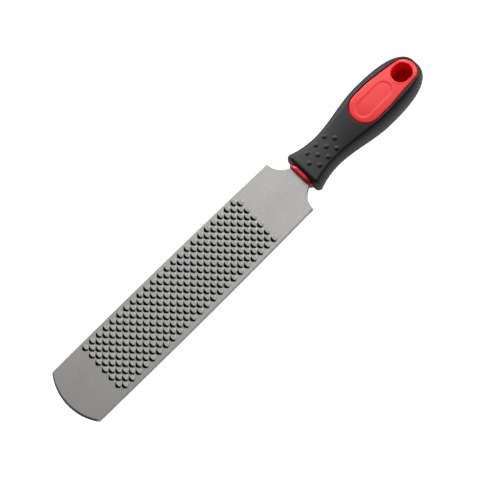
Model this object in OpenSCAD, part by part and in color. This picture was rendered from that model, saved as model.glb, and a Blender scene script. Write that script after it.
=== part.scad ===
// Flat rasp with a two-colour moulded handle.
// The origin is on the blade's back face, on its centre line, level with the two heel corners.
// +X points to the tip, +Z out of the toothed face. Millimetres.

/* [Blade] */
// Length of the blade from its heel corners to its tip
blade_length = 200; // [180:5:240]
// Width of the blade where it is widest
blade_width = 45; // [44:0.5:50]
// Thickness of the plate
blade_thickness = 5; // [4:0.5:6]
// Radius of the rounded tip
tip_radius = 37; // [30:1:60]
// Radius of the slight bow of the long edges
edge_bow_radius = 6200; // [4000:100:20000]
// Radius of the hollow cut behind each heel corner
shoulder_radius = 13.4; // [12:0.2:16]
// Width of the neck between the blade and the handle
neck_width = 17.8; // [16:0.2:18.5]

/* [Tang] */
// Width of the tang where it enters the handle
tang_width = 15; // [12:0.5:16]
// Width of the tang at its hidden end
tang_end_width = 7; // [5:0.5:10]
// Thickness of the tang
tang_thickness = 4; // [3:0.2:4]
// Length of the tang inside the handle
tang_length = 72; // [50:1:76]

/* [Teeth] */
// Number of rows of teeth across the blade
tooth_rows = 12; // [8:1:12]
// Number of teeth along each row
teeth_per_row = 23; // [12:1:23]
// Distance between two teeth of one row
tooth_pitch = 6.05; // [5.6:0.05:6.2]
// Distance between two rows
row_pitch = 3.24; // [3:0.02:3.3]
// How far each row is ahead of the row on its right
row_advance = 0.14; // [0:0.02:0.16]
// How far the field of teeth stands off the middle line, towards the right edge
field_offset = 0.4; // [0:0.1:1]
// Diameter of one tooth
tooth_diameter = 3.7; // [3:0.1:3.8]
// Distance from a tooth's centre forward to its cutting edge
tooth_front = 1.3; // [1.1:0.05:1.45]
// Height of a tooth's cutting edge above the face
tooth_height = 0.85; // [0.5:0.05:1.2]
// Depth of the hollow that the punch leaves in front of a tooth
gullet_depth = 0.45; // [0.2:0.05:0.8]
// Width of that hollow at its middle
gullet_width = 1.4; // [0.8:0.05:1.5]
// Distance from the heel corners to the nearest tooth's centre
first_tooth = 29.8; // [24:0.2:34]

/* [Handle] */
// Distance from the blade's heel corners to the mouth of the grip
mouth_distance = 10.5; // [10:0.5:12]
// Length of the grip
grip_length = 105.7; // [100:0.5:115]
// Width of the grip's mouth
mouth_width = 22.6; // [22:0.2:26]
// Thickness of the grip's mouth
mouth_thickness = 17.2; // [16:0.2:19]
// Radius of the mouth's front as seen from the side
mouth_nose_radius = 34; // [24:1:60]
// Width of the flared lip
lip_width = 30.6; // [28:0.2:33]
// Thickness of the flared lip
lip_thickness = 21.4; // [20.6:0.2:23]
// Width of the waist
waist_width = 23.4; // [22.8:0.2:27]
// Thickness of the waist
waist_thickness = 20; // [19:0.2:22]
// Width of the belly
belly_width = 33.7; // [32:0.1:36]
// Thickness of the belly
belly_thickness = 26; // [24:0.2:28]
// Distance from the mouth to the lip's widest place
lip_position = 3.6; // [2:0.2:5]
// Distance from the mouth to the waist
waist_position = 23; // [20:0.5:26]
// Distance from the mouth to the belly
belly_position = 65.5; // [60:0.5:70]
// Thickness of the soft grip over the hard core
grip_wall = 2.4; // [1.6:0.2:3]

/* [Collar and windows] */
// Width of the red collar at the mouth
collar_width = 20.8; // [18:0.2:21]
// Thickness of the red collar
collar_thickness = 14.6; // [10:0.2:15]
// How far the collar stands out of the mouth
collar_reach = 1.6; // [1:0.1:2]
// Radius of the window's front end
window_radius = 11.5; // [10:0.1:12]
// Radius of the window's rear end
window_rear_radius = 9; // [7.5:0.1:9.5]
// Distance from the mouth to the front of the window
window_front = 48; // [46:0.5:52]
// Black rim left between the window and the end of the grip
window_margin = 1.8; // [1.4:0.1:3]
// How far the red window lies below the grip's surface
window_drop = 0.3; // [0.1:0.1:0.6]
// Width of the shallow label recess on the window
label_width = 11; // [8:0.5:12]
// Length of the label recess
label_length = 29; // [20:1:30]

/* [Hanging hole] */
// Width of the hanging hole
hole_width = 12.4; // [8:0.2:12.6]
// Length of the hanging hole
hole_length = 15.2; // [12.8:0.2:15.6]
// Distance from the end of the grip to the centre of the hole
hole_from_end = 13.2; // [12.5:0.1:16]

/* [Nubs] */
// Diameter of one anti-slip nub
nub_diameter = 3.6; // [2:0.2:4]
// Height of a nub above the grip
nub_height = 0.6; // [0.3:0.1:1]
// Distance between two nubs of one row
nub_pitch = 7.8; // [7:0.2:8.4]
// Distance between two rows of nubs
nub_row_pitch = 5.7; // [5:0.1:6]

/* [Hidden] */
$fn = 48;
overlap = 1;
mid_height = blade_thickness / 2;

// The blade's outline is widest at this share of its length.
widest_x = 0.62 * blade_length;
bow_steps = 20;
heel_half_width = blade_width / 2 - widest_x ^ 2 / (2 * edge_bow_radius);
neck_end = mouth_distance - collar_reach;

tooth_radius = tooth_diameter / 2;
tooth_front_radius = 3.6;
tooth_root = 0.3;
skew_angle = atan(row_advance / row_pitch);
gullet_radius = 1.95;
field_width = row_pitch * (tooth_rows - 1);

mouth_size = [mouth_width, mouth_thickness];
lip_size = [lip_width, lip_thickness];
waist_size = [waist_width, waist_thickness];
belly_size = [belly_width, belly_thickness];

// The handle's section has a shallow crown between two edges, and a bulging side below each edge.
crown_share = 0.75;
crown_drop_share = 0.07;
side_power = 2.4;
crown_steps = 4;
side_steps = 6;

// The sections stand closer together at the lip and at the round end.
lip_steps = 8;
station_step = 4;
butt_start = 0.8 * grip_length;
butt_steps = 10;
butt_power = 2.7;
butt_flat = 0.999;
flare_power = 2;

collar_depth = 6;
core_start = 4;
window_x = -(mouth_distance + window_front + window_radius);
window_middle_x = window_x - window_radius;
window_rear_x = -(mouth_distance + grip_length - window_margin - window_rear_radius);
label_depth = 0.5;
label_inset = 4;
hole_x = -(mouth_distance + grip_length - hole_from_end);
nub_rows = 3;
nubs_in_middle_row = 4;
first_nub_x = -(mouth_distance + 7.8);
nub_sunk = 1;
tall = 60;

// ---- Blade ----

// Half the blade's width at a distance from its heel corners.
function half_width_at(x) = blade_width / 2 - (x - widest_x) ^ 2 / (2 * edge_bow_radius);

module blade_outline() {
    intersection() {
        polygon([
            for (i = [0 : bow_steps]) let (x = blade_length * i / bow_steps) [x, half_width_at(x)],
            for (i = [bow_steps : -1 : 0]) let (x = blade_length * i / bow_steps) [x, -half_width_at(x)]
        ]);
        union() {
            translate([blade_length - tip_radius, 0]) circle(r = tip_radius, $fn = 180);
            translate([0, -blade_width]) square([blade_length - tip_radius, 2 * blade_width]);
        }
    }
}

module shoulders() {
    difference() {
        translate([-shoulder_radius, -heel_half_width])
            square([shoulder_radius + overlap, 2 * heel_half_width]);
        for (side = [-1, 1])
            translate([-shoulder_radius, side * heel_half_width]) circle(r = shoulder_radius, $fn = 96);
        translate([-2 * shoulder_radius - neck_end, -blade_width])
            square([2 * shoulder_radius, 2 * blade_width]);
    }
    translate([-neck_end, -neck_width / 2]) square([neck_end, neck_width]);
}

module tang_shape() {
    start = -neck_end + overlap;
    finish = -mouth_distance - tang_length;
    translate([0, 0, mid_height - tang_thickness / 2])
        linear_extrude(tang_thickness)
            polygon([
                [start, tang_width / 2],
                [start, -tang_width / 2],
                [finish, -tang_end_width / 2],
                [finish, tang_end_width / 2]
            ]);
}

function row_y(row) = row * row_pitch - field_width / 2 - field_offset;
function tooth_x(column, shifted) = first_tooth + tooth_pitch * (column + (shifted ? 0 : 0.5));

// Every second row is shifted by half a pitch, so the teeth fall into two sets.
module at_teeth(shifted) {
    for (row = [(shifted ? 1 : 0) : 2 : tooth_rows - 1])
        for (column = [0 : teeth_per_row - 1])
            translate([tooth_x(column, shifted) + row_advance * row, row_y(row)]) children();
}

// A tooth seen from above: round behind, with a flatter front.
module tooth_outline() {
    intersection() {
        circle(d = tooth_diameter);
        translate([tooth_front - tooth_front_radius, 0]) circle(r = tooth_front_radius, $fn = 96);
    }
}

// Height of the sloping top of a tooth at a distance ahead of its centre.
function tooth_top(x) = tooth_height * (x + tooth_radius) / (tooth_front + tooth_radius);

// A sawtooth roof over one set, rising towards the tip, with its ridges along the columns of teeth.
module tooth_roof(shifted) {
    translate([0, row_y(0), blade_thickness])
        rotate([0, 0, -skew_angle])
            rotate([90, 0, 0])
                linear_extrude(2 * blade_width + 2 * field_offset, center = true)
                    for (column = [0 : teeth_per_row - 1])
                        translate([tooth_x(column, shifted) * cos(skew_angle), 0])
                            polygon([
                                [-tooth_radius, 0],
                                [-tooth_radius, -tooth_root],
                                [tooth_radius, -tooth_root],
                                [tooth_radius, tooth_top(tooth_radius)]
                            ]);
}

module tooth_set(shifted) {
    intersection() {
        translate([0, 0, blade_thickness - tooth_root])
            linear_extrude(tooth_top(tooth_radius) + tooth_root + overlap) at_teeth(shifted) tooth_outline();
        tooth_roof(shifted);
    }
}

// Crescent hollows in front of one set.
module gullet_set(shifted) {
    translate([0, 0, blade_thickness - gullet_depth])
        linear_extrude(gullet_depth + overlap)
            at_teeth(shifted)
                difference() {
                    translate([tooth_front + gullet_width - gullet_radius, 0]) circle(r = gullet_radius);
                    tooth_outline();
                }
}

module blade() {
    color("silver") {
        difference() {
            linear_extrude(blade_thickness) {
                blade_outline();
                shoulders();
            }
            gullet_set(true);
            gullet_set(false);
        }
        tooth_set(true);
        tooth_set(false);
        tang_shape();
    }
}

// ---- Handle profile ----

function mix(from, to, share) = from + (to - from) * share;
function smooth(share) = share * share * (3 - 2 * share);

// Share of the way from the belly to the end of the grip, stopping just short of the end.
function butt_share(distance) = min(butt_flat, (distance - belly_position) / (grip_length - belly_position));

// Share of the way from the waist forward to the lip.
function flare_share(distance) = (waist_position - distance) / (waist_position - lip_position);

// Share of the way from the mouth to the lip, along a quarter of an ellipse.
function nose_share(distance) = sqrt(1 - (1 - distance / lip_position) ^ 2);

// Width and thickness of the grip at a distance behind its mouth.
function grip_size(distance) =
    distance <= lip_position ? mix(mouth_size, lip_size, nose_share(distance))
    : distance <= waist_position ?
        mix(waist_size, lip_size, flare_share(distance) ^ flare_power)
    : distance <= belly_position ?
        mix(waist_size, belly_size, smooth((distance - waist_position) / (belly_position - waist_position)))
    : belly_size * (1 - butt_share(distance) ^ butt_power) ^ (1 / butt_power);

// Height of the crown at a share of its half width.
function crown_height(half_height, share) = half_height * (1 - crown_drop_share * share ^ 2);

// One quarter of the section, from the middle of the crown to the middle of the side, as [y, z].
function quarter(half_width, half_height) =
    let (edge_y = crown_share * half_width, edge_z = crown_height(half_height, 1))
    concat(
        [for (i = [0 : crown_steps - 1])
            [edge_y * i / crown_steps, crown_height(half_height, i / crown_steps)]],
        [for (i = [side_steps : -1 : 0])
            [half_width - (half_width - edge_y) * (i / side_steps) ^ side_power, edge_z * i / side_steps]]
    );

function backwards(list) = [for (i = [len(list) - 1 : -1 : 0]) list[i]];
function all_but_last(list) = [for (i = [0 : len(list) - 2]) list[i]];

// The whole section, once round.
function section(size) =
    let (
        down = quarter(size[0] / 2, size[1] / 2),
        up = backwards(down)
    )
    concat(
        [for (p = all_but_last(down)) [p[0], p[1]]],
        [for (p = all_but_last(up)) [p[0], -p[1]]],
        [for (p = all_but_last(down)) [-p[0], -p[1]]],
        [for (p = all_but_last(up)) [-p[0], p[1]]]
    );

stations = concat(
    [for (i = [0 : lip_steps]) 2 * lip_position * i / lip_steps],
    [for (d = [2 * lip_position + station_step : station_step : butt_start]) d],
    [for (i = [1 : butt_steps]) mix(butt_start, grip_length, sin(90 * i / butt_steps))]
);

// A closed solid through rings that have the same number of points.
module loft(rings) {
    ring_size = len(rings[0]);
    last_ring = (len(rings) - 1) * ring_size;
    polyhedron(
        points = [for (ring = rings) each ring],
        faces = concat(
            [[for (i = [0 : ring_size - 1]) i]],
            [[for (i = [ring_size - 1 : -1 : 0]) last_ring + i]],
            [for (start = [0 : ring_size : last_ring - 1], i = [0 : ring_size - 1])
                let (a = start + i, b = start + (i + 1) % ring_size)
                each [[a, a + ring_size, b], [b, a + ring_size, b + ring_size]]]
        )
    );
}

// The grip's outer shape between two distances behind its mouth, taken in by the same amount all round.
module handle_shape(inset, first, last) {
    between = [for (d = stations) if (d > first && d < last) d];
    loft([
        for (d = concat([first], between, [last]))
            [for (p = section(grip_size(d) - [2 * inset, 2 * inset]))
                [-mouth_distance - d, p[0], mid_height + p[1]]]
    ]);
}

// ---- Handle parts ----

// A strip with round ends, long along X.
module stadium(length, width) {
    reach = (length - width) / 2;
    square([2 * reach, width], center = true);
    for (side = [-1, 1])
        translate([side * reach, 0]) circle(d = width);
}

module window_outline() {
    hull() {
        translate([window_x, 0]) circle(r = window_radius);
        translate([window_middle_x, 0]) circle(r = window_radius);
        translate([window_rear_x, 0]) circle(r = window_rear_radius);
    }
}

module label_outline() {
    front_x = window_x + window_radius - label_inset;
    translate([front_x - label_length / 2, 0]) stadium(label_length, label_width);
}

module collar() {
    translate([-mouth_distance + collar_reach, 0, mid_height])
        rotate([0, -90, 0])
            linear_extrude(collar_depth) rotate(90) stadium(collar_width, collar_thickness);
}

// The hard body under the grip, with the collar that stands out of its mouth.
module core_body() {
    handle_shape(grip_wall, core_start, grip_length - grip_wall);
    collar();
}

// The core's faces that show in the windows, with the label recess in each.
module window_pads() {
    first = window_front - overlap;
    last = grip_length - window_drop;
    intersection() {
        translate([0, 0, -tall / 2]) linear_extrude(tall) window_outline();
        union() {
            handle_shape(window_drop + label_depth, first, last - label_depth);
            difference() {
                handle_shape(window_drop, first, last);
                translate([0, 0, -tall / 2]) linear_extrude(tall) label_outline();
            }
        }
    }
}

module handle_core() {
    color("#e03c38")
        difference() {
            union() {
                core_body();
                window_pads();
            }
            tang_shape();
            translate([hole_x, 0, -tall / 2]) linear_extrude(tall) stadium(hole_length, hole_width);
        }
}

// Nubs in three rows on the face of the grip, one fewer in each outer row.
module nubs() {
    for (row = [0 : nub_rows - 1]) {
        outer = row != 1;
        for (i = [0 : nubs_in_middle_row - (outer ? 2 : 1)]) {
            x = first_nub_x - nub_pitch * (i + (outer ? 0.5 : 0));
            y = nub_row_pitch * (row - 1);
            size = grip_size(-x - mouth_distance);
            surface = crown_height(size[1] / 2, 2 * abs(y) / (crown_share * size[0]));
            translate([x, y, surface - nub_sunk])
                cylinder(h = nub_sunk + nub_height, d1 = nub_diameter, d2 = 0.8 * nub_diameter);
        }
    }
}

// What lies in front of the grip's mouth, which is rounded as seen from the side.
module in_front_of_mouth() {
    centre_x = -mouth_distance - mouth_nose_radius;
    difference() {
        translate([centre_x, -blade_width, -blade_width])
            cube([mouth_nose_radius + overlap, 2 * blade_width, 2 * blade_width]);
        translate([centre_x, 0, mid_height])
            rotate([90, 0, 0]) cylinder(r = mouth_nose_radius, h = 3 * blade_width, center = true, $fn = 120);
    }
}

module grip() {
    color("#2e2e30") {
        difference() {
            handle_shape(0, 0, grip_length);
            core_body();
            in_front_of_mouth();
            translate([0, 0, -tall / 2]) linear_extrude(tall) window_outline();
        }
        for (side = [0, 1])
            translate([0, 0, mid_height]) mirror([0, 0, side]) nubs();
    }
}

blade();
handle_core();
grip();
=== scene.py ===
"""A flat rasp with a two-colour moulded handle, lying on a pale studio floor.

Shapes are worked out in millimetres in the CAD frame: +X to the tip, +Z out of the toothed face.
Handle sections are measured from the blade's mid-plane, at MID_HEIGHT above the frame's origin.
"""

import math

import bmesh
import bpy
import numpy as np
from mathutils import Matrix, Vector


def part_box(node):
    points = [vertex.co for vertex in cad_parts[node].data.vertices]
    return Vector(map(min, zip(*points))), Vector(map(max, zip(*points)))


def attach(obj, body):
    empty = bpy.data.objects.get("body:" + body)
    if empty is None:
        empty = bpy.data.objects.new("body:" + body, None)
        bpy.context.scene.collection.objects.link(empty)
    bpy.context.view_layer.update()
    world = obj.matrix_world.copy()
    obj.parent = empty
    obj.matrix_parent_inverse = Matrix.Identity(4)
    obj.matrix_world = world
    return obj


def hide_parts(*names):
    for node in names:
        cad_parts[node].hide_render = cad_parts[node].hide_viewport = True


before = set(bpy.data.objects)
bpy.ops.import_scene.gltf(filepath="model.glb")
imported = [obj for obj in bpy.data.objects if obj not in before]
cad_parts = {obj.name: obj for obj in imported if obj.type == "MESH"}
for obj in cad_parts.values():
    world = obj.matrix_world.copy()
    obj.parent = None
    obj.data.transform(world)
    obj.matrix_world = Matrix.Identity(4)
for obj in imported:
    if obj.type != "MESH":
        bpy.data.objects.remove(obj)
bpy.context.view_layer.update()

MM = 0.001
BODY = "root"
TINY = 1e-9

# Points nearer than this become one; edges sharper than these angles, in degrees, stay sharp.
WELD_DISTANCE = 0.0004
BLADE_SHARP_ANGLE = 32.0
HANDLE_SHARP_ANGLE = 50.0

# ---- Sizes of the blade, in millimetres ----

BLADE_LOW, BLADE_HIGH = np.array(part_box("blade")) / MM
GRIP_LOW, GRIP_HIGH = np.array(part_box("grip")) / MM

BLADE_LENGTH = BLADE_HIGH[0]
BLADE_WIDTH = BLADE_HIGH[1] - BLADE_LOW[1]
TOOTH_HEIGHT = 0.85
BLADE_THICKNESS = BLADE_HIGH[2] - TOOTH_HEIGHT
MID_HEIGHT = BLADE_THICKNESS / 2
TIP_RADIUS = 37.0
TIP_CORNER_RADIUS = 1.4
WIDEST_X = 0.62 * BLADE_LENGTH
EDGE_BOW_RADIUS = 6200.0
SHOULDER_RADIUS = 13.4
HEEL_CORNER_RADIUS = 0.6
NECK_HALF_WIDTH = 8.9
NECK_END_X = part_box("handle_core")[1][0] / MM
EDGE_BEVEL = 0.18
TIP_BEVEL = 1.5
BOTTOM_BEVEL = 0.4
TIP_STEPS = 22
CORNER_STEPS = 6
EDGE_STEPS = 40
SHOULDER_STEPS = 18

TANG_START_X = NECK_END_X + 1.0
TANG_END_X = BLADE_LOW[0]
TANG_HALF_WIDTH = 7.5
TANG_END_HALF_WIDTH = 3.5
TANG_HALF_THICKNESS = 2.0

# The tooth field: each row is ROW_ADVANCE ahead of the one before, and every second row half a pitch.
TOOTH_ROWS = 12
TEETH_PER_ROW = 23
TOOTH_PITCH = 6.05
ROW_PITCH = 3.24
ROW_ADVANCE = 0.14
FIRST_TOOTH_X = 29.8
FIELD_OFFSET_Y = -0.4

# One tooth: a wedge that rises from a round back to a nearly straight cutting front.
TOOTH_RADIUS = 1.85
TOOTH_FRONT = 1.2
TOOTH_FRONT_RADIUS = 8.0
TOOTH_FRONT_SOFTNESS = 0.3
TOOTH_SINK = 0.07
TOOTH_RISE_POWER = 0.65
TOOTH_CROWN_SHARE = 0.55
TOOTH_EDGE_BACK = 0.16
TOOTH_EDGE_ROUND = 0.05
TOOTH_EDGE_DROP = 0.06
TOOTH_FOOT = 0.02

# The round gullet ahead of each tooth.
GULLET_DEPTH = 0.6
GULLET_WIDTH = 1.6
GULLET_RADIUS = 3.0
GULLET_END_ANGLE = math.radians(88)
GULLET_CLOSING = 2.2
GULLET_FULL_DEPTH_AT = 0.35
GULLET_FLOOR_SHARE = 0.85
TOOTH_SKIRT = 0.1

# The six-sided patch of face round each tooth and its gullet.
CELL_LEAD = 0.42
CELL_FILL = 0.9
LONG_SIDE_STEPS = 8

# Heights over which the steel's colour changes: painted shade into a gullet, painted shade up a tooth, and
# painted light round the side's middle.
HOLLOW_START = 0.08
HOLLOW_RANGE = 0.12
RAISED_RANGE = 0.3
SIDE_RANGE = 0.3
UPRIGHT_NORMAL = 0.3

# ---- Sizes of the handle, in millimetres ----

# Half widths and half heights at the mouth, lip, waist and belly, and distances behind the mouth.
MOUTH_X = GRIP_HIGH[0]
GRIP_LENGTH = GRIP_HIGH[0] - GRIP_LOW[0]
MOUTH_HALF_SIZE = np.array([11.3, 8.6])
LIP_HALF_SIZE = np.array([15.3, 10.7])
WAIST_HALF_SIZE = np.array([11.7, 10.0])
BELLY_HALF_SIZE = np.array([16.85, 13.0])
LIP_AT = 3.6
WAIST_AT = 23.0
BELLY_AT = 65.5
FLARE_POWER = 2.0
BUTT_POWER = 2.7
GRIP_WALL = 2.4
MOUTH_NOSE_RADIUS = 34.0
MOUTH_SOFTNESS = 1.6
MOUTH_LENGTH = 3 * LIP_AT

# The section: a nearly flat crown over three quarters of the width, a soft facet edge and round sides.
CROWN_SHARE = 0.75
CROWN_DROP = 0.07
SIDE_POWER = 2.4
FACET_SOFTNESS = 1.1
FACET_LIMIT = 0.3

# Shares of the half height above which the window's rim is rounded and nubs stand.
RIM_ABOVE = 0.5
NUBS_ABOVE = 0.8

# Points across one quarter of the section, the first of them close together at the window's rim.
CROWN_COLUMNS = 27
FACET_COLUMNS = 7
SIDE_COLUMNS = 15
RIM_SHARES = (0.0, 0.012, 0.027, 0.05)

# Places along the grip, closer together where it turns; the approach steps lie ahead of the window.
NOSE_STATIONS = 15
NUB_STEP = 0.35
NUB_FIELD_LENGTH = 34.0
MIDDLE_STATIONS = 16
APPROACH_STEPS = np.array([0.8, 0.5, 0.28, 0.12])
WINDOW_TURN_STATIONS = 15
WINDOW_STRAIGHT_STATIONS = 31
BUTT_STATIONS = 12
INSIDE_STATIONS = 8

# The window in the grip and the red pad in it: three circles and the tangents between them.
WINDOW_RADIUS = 11.5
WINDOW_REAR_RADIUS = 9.0
WINDOW_MARGIN = 1.8
WINDOW_FRONT_X = MOUTH_X - 48.0
WINDOW_REAR_X = GRIP_LOW[0] + WINDOW_MARGIN
FRONT_CIRCLE_X = WINDOW_FRONT_X - WINDOW_RADIUS
MIDDLE_CIRCLE_X = FRONT_CIRCLE_X - WINDOW_RADIUS
REAR_CIRCLE_X = WINDOW_REAR_X + WINDOW_REAR_RADIUS
WINDOW_DROP = 0.25
PAD_GAP = 0.45
PAD_EDGE_ROUND = 0.9
PAD_EDGE_DROP = 0.55
PAD_COLUMNS = 38
RIM_ROUND = 0.3
RIM_DROP = 0.2

# The label recess in the pad.
LABEL_LENGTH = 29.0
LABEL_WIDTH = 11.0
LABEL_INSET = 4.0
LABEL_CENTRE_X = WINDOW_FRONT_X - LABEL_INSET - LABEL_LENGTH / 2
LABEL_DEPTH = 0.3
LABEL_EDGE = 0.65
LABEL_STEP = 0.45
LABEL_STEPS_BEYOND = 1.0

# The hanging hole, a slot with a raised lip.
HOLE_CENTRE_X = GRIP_LOW[0] + 13.2
HOLE_LENGTH = 15.2
HOLE_WIDTH = 12.4
HOLE_EDGE_ROUND = 0.7
HOLE_EDGE_DROP = 0.5
HOLE_LIP_WIDTH = 1.5
HOLE_LIP_FADE = 0.8
HOLE_LIP_HEIGHT = 0.14
HOLE_SIDE_STEPS = np.array([0.15, 0.35, 0.6, 0.95, 1.4, 1.9])
HOLE_TURN_STATIONS = 14

# Places along the core: label steps keep clear of the others, and two that nearly meet become one.
STATION_CLEARANCE = 0.15
SAME_STATION = 0.004

# The core's collar, which shows at the mouth, and the grip's bore round it.
COLLAR_HALF_WIDTH = 10.4
COLLAR_HALF_HEIGHT = 7.3
COLLAR_ROUND = 1.3
COLLAR_TURN_STATIONS = 8
COLLAR_END_X = MOUTH_X - 4.4
BORE_CLEARANCE = 0.3
BORE_STEP_AT = 2.6
BORE_STEP_LENGTH = 0.2
BODY_COLUMNS = 26

# Nubs on the grip: rows across, each with its number of nubs; outer rows start half a pitch further back.
NUB_ROWS = ((-1, 3), (0, 4), (1, 3))
NUB_RADIUS = 1.8
NUB_HEIGHT = 0.6
NUB_PITCH = 7.8
NUB_ROW_PITCH = 5.7
NUB_FIRST_X = MOUTH_X - 7.8
NUB_FLAT_SHARE = 0.35

# A dark card inside the hole, part of the studio: painted shade that stands in for the hole's dim inside.
HOLE_CARD_OVERLAP = 0.3
HOLE_CARD_LIFT = 2.0
HOLE_CARD_STEPS = 16

# ---- Colours: pairs are the two ends that a noise blends between ----

STEEL_TONES = ((0.338, 0.328, 0.314, 1.0), (0.400, 0.392, 0.381, 1.0))
GRINDING_TONE = (0.27, 0.26, 0.25, 1.0)
# Painted shade: a darker tone for the upper parts of the teeth.
TOOTH_SHADE_TONE = (0.21, 0.204, 0.198, 1.0)
# Painted light: a paler tone for the plate's upright side wall.
SIDE_LIGHT_TONE = (0.50, 0.49, 0.48, 1.0)
SPOT_TONE = (0.165, 0.16, 0.156, 1.0)
# Painted shade: near black for the inside of the gullets.
GULLET_SHADE_TONE = (0.006, 0.006, 0.006, 1.0)
RUBBER_TONES = ((0.006, 0.0061, 0.0063, 1.0), (0.008, 0.0081, 0.0084, 1.0))
RED_TONES = ((0.94, 0.024, 0.024, 1.0), (1.0, 0.034, 0.034, 1.0))
# Painted shade: the dull dark red of the card inside the hang hole.
HOLE_SHADE_TONES = ((0.40, 0.008, 0.012, 1.0), (0.46, 0.010, 0.014, 1.0))
FLOOR_TONES = ((0.66, 0.66, 0.66, 1.0), (0.70, 0.70, 0.70, 1.0))
GLOW_COLOUR = (1.0, 1.0, 1.0, 1.0)
SKY_COLOUR = (0.98, 0.99, 1.0, 1.0)

# ---- Studio, in metres ----

# The floor touches the tip and the handle's belly, and its glow is white to the camera only.
FLOOR_SIZE = 6.0
FLOOR_GAP = 0.0001
FLOOR_TILT = math.atan2(BELLY_HALF_SIZE[1] - MID_HEIGHT, BLADE_LENGTH - MOUTH_X + BELLY_AT)
CAMERA_GLOW = 1.1

# A softly glowing strip of floor along the tool's +Y side, with the ranges of Y in which it fades in and out.
STRIP_FADE_IN = (0.005, 0.02)
STRIP_FADE_OUT = (0.05, 0.10)
STRIP_GLOW = 0.45

# The sky's strength is the product of three ramps over direction: a range, and the strengths at its ends.
SKY_ALONG = ((-0.2, 0.1), (2.3, 0.0))
SKY_ACROSS = ((-0.35, 0.45), (1.1, 0.08))
SKY_UP = ((0.3, 0.8), (0.06, 1.0))

LIGHT_AIM = Vector((-0.05, 0.0, 0.0))
KEY_PLACE = Vector((-0.15, -1.2, 0.75))
KEY_SIZE = (0.9, 0.7)
KEY_POWER = 12.0
END_PLACE = Vector((-1.1, -0.35, 0.42))
END_SIZE = (0.6, 0.35)
END_POWER = 5.0

CAMERA_PLACE = Vector((0.1648, 0.2900, 1.1550))
CAMERA_AIM = Vector((0.0476, 0.0023, 0.005))
CAMERA_TURN = math.radians(225.57)
CAMERA_REACH = 20.0
FOCAL_LENGTH = 139.1
SENSOR_WIDTH = 36.0


# ---- Small helpers ----

def mix(start, end, share):
    """The value that lies a share of the way from start to end."""
    return start + (end - start) * share


def smooth_step(share):
    """0 to 1 with flat ends, for shares of 0 to 1."""
    share = np.clip(share, 0.0, 1.0)
    return share * share * (3.0 - 2.0 * share)


def soft_minimum(first, second, softness):
    """The smaller of two values, with the change from one to the other rounded."""
    share = np.clip(0.5 + 0.5 * (second - first) / softness, 0.0, 1.0)
    return mix(second, first, share) - softness * share * (1.0 - share)


def half_turn(steps):
    """Shares of 0 to 1, close together at both ends."""
    return (1.0 - np.cos(np.linspace(0.0, math.pi, steps + 1))) / 2.0


# ---- From points and faces to a piece ----

def clean_mesh(name, points, faces):
    """A closed mesh from millimetre points, with equal points welded and collapsed faces dropped."""
    mesh = bpy.data.meshes.new(name)
    mesh.from_pydata((np.asarray(points) * MM).tolist(), [], faces)
    work = bmesh.new()
    work.from_mesh(mesh)
    bmesh.ops.remove_doubles(work, verts=work.verts, dist=WELD_DISTANCE * MM)
    loose = [edge for edge in work.edges if not edge.link_faces]
    bmesh.ops.delete(work, geom=loose, context="EDGES")
    bmesh.ops.recalc_face_normals(work, faces=work.faces)
    work.to_mesh(mesh)
    work.free()
    return mesh


def add_piece(mesh, material, sharp_angle):
    """An object with smooth shading, but with the edges past an angle in degrees kept sharp."""
    piece = bpy.data.objects.new(mesh.name, mesh)
    bpy.context.scene.collection.objects.link(piece)
    mesh.materials.append(material)
    mesh.shade_smooth()
    mesh.set_sharp_from_angle(angle=math.radians(sharp_angle))
    return piece


class Lofter:
    """Collects grids of points and the quads between them."""

    def __init__(self):
        self.points = []
        self.faces = []
        self.count = 0

    def add(self, grid):
        """Add a grid of points, [stations, columns, 3], and give back its point numbers."""
        stations, columns = grid.shape[:2]
        numbers = self.count + np.arange(stations * columns).reshape(stations, columns)
        self.points.append(grid.reshape(-1, 3))
        self.count += stations * columns
        return numbers

    def skin(self, numbers):
        """Quads over a grid of point numbers."""
        corners = (numbers[:-1, :-1], numbers[:-1, 1:], numbers[1:, 1:], numbers[1:, :-1])
        self.faces += np.stack(corners, axis=-1).reshape(-1, 4).tolist()

    def cap(self, loop):
        """One flat face over a closed loop of point numbers."""
        self.faces.append([int(number) for number in loop])

    def mesh(self, name):
        """The closed mesh of all that was collected."""
        return clean_mesh(name, np.concatenate(self.points), self.faces)


# ---- Blade ----

def half_width_at(x):
    """Half width of the blade, whose long edges bow outward a little."""
    return BLADE_WIDTH / 2 - (x - WIDEST_X) ** 2 / (2 * EDGE_BOW_RADIUS)


def arc(centre, radius, start, end, steps):
    """Points along an arc between two angles."""
    angles = np.linspace(start, end, steps + 1)
    return [(centre[0] + radius * math.cos(a), centre[1] + radius * math.sin(a)) for a in angles]


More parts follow.
